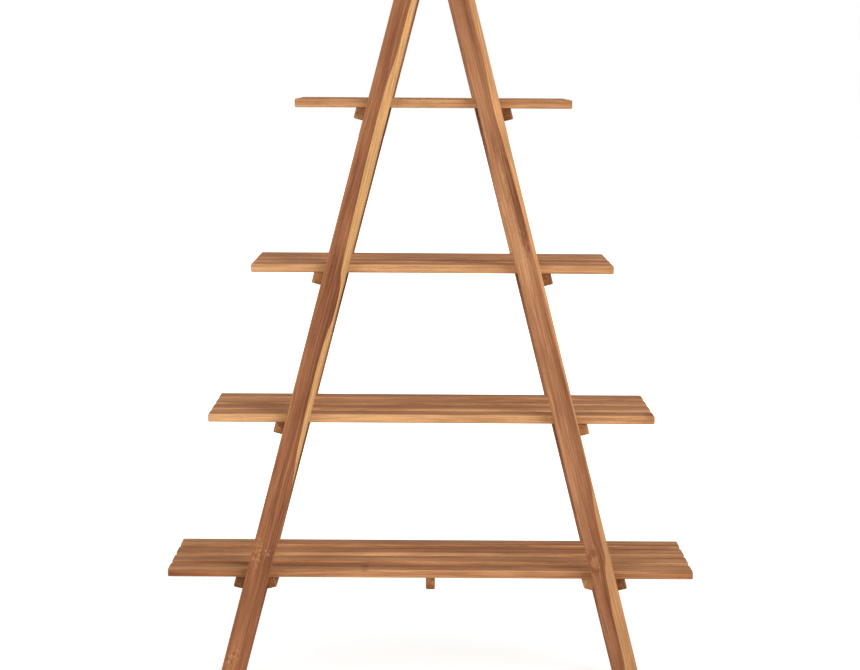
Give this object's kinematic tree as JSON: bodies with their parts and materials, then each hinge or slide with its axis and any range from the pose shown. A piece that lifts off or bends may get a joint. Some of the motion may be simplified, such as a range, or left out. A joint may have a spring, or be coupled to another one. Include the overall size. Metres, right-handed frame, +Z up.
{
  "type": "slatted A-frame bookcase",
  "caption": "Wooden A-frame bookcase: two leaning ladder sides joined at the top carry loose slatted shelves that get narrower upwards and lift off their rungs.",
  "frame": {"origin": "on the floor, midway between the four feet", "axes": "+Z up, +X to the right seen from the front, the front faces -Y"},
  "size_m": [1.2, 0.4, 1.88],
  "materials": {
    "leg_teak": "oiled, satin",
    "slat_teak": "oiled, satin",
    "rung_and_cleat_teak": "oiled, satin",
    "peg_teak": "oiled end grain",
    "steel": "zinc plated, dull"
  },
  "bodies": {
    "frame": {"front_left_leg": "leg_teak", "front_right_leg": "leg_teak", "rear_left_leg": "leg_teak", "rear_right_leg": "leg_teak", "bottom_left_rung": "rung_and_cleat_teak", "bottom_right_rung": "rung_and_cleat_teak", "lower_left_rung": "rung_and_cleat_teak", "lower_right_rung": "rung_and_cleat_teak", "upper_left_rung": "rung_and_cleat_teak", "upper_right_rung": "rung_and_cleat_teak", "top_left_rung": "rung_and_cleat_teak", "top_right_rung": "rung_and_cleat_teak", "left_rung_pegs": "peg_teak", "right_rung_pegs": "peg_teak", "apex_dowels": "peg_teak", "apex_bolts": "steel", "apex_sleeve_nuts": "steel"},
    "bottom_shelf": {"bottom_shelf_slat_1": "slat_teak", "bottom_shelf_slat_2": "slat_teak", "bottom_shelf_slat_3": "slat_teak", "bottom_shelf_slat_4": "slat_teak", "bottom_shelf_left_cleat": "rung_and_cleat_teak", "bottom_shelf_right_cleat": "rung_and_cleat_teak", "bottom_shelf_left_inner_cleat": "rung_and_cleat_teak", "bottom_shelf_right_inner_cleat": "rung_and_cleat_teak", "bottom_shelf_centre_batten": "rung_and_cleat_teak", "bottom_shelf_screws": "steel"},
    "lower_shelf": {"lower_shelf_slat_1": "slat_teak", "lower_shelf_slat_2": "slat_teak", "lower_shelf_slat_3": "slat_teak", "lower_shelf_slat_4": "slat_teak", "lower_shelf_left_cleat": "rung_and_cleat_teak", "lower_shelf_right_cleat": "rung_and_cleat_teak", "lower_shelf_screws": "steel"},
    "upper_shelf": {"upper_shelf_slat_1": "slat_teak", "upper_shelf_slat_2": "slat_teak", "upper_shelf_slat_3": "slat_teak", "upper_shelf_slat_4": "slat_teak", "upper_shelf_left_cleat": "rung_and_cleat_teak", "upper_shelf_right_cleat": "rung_and_cleat_teak", "upper_shelf_screws": "steel"},
    "top_shelf": {"top_shelf_slat_1": "slat_teak", "top_shelf_slat_2": "slat_teak", "top_shelf_slat_3": "slat_teak", "top_shelf_slat_4": "slat_teak", "top_shelf_left_cleat": "rung_and_cleat_teak", "top_shelf_right_cleat": "rung_and_cleat_teak", "top_shelf_screws": "steel"}
  },
  "joints": [
    {"name": "bottom_shelf_lift", "type": "slide", "parent": "frame", "child": "bottom_shelf", "axis": [0, 0, 1], "range_m": [0, 0.29]},
    {"name": "lower_shelf_lift", "type": "slide", "parent": "frame", "child": "lower_shelf", "axis": [0, 0, 1], "range_m": [0, 0.275]},
    {"name": "upper_shelf_lift", "type": "slide", "parent": "frame", "child": "upper_shelf", "axis": [0, 0, 1], "range_m": [0, 0.3]},
    {"name": "top_shelf_lift", "type": "slide", "parent": "frame", "child": "top_shelf", "axis": [0, 0, 1], "range_m": [0, 0.52]}
  ]
}
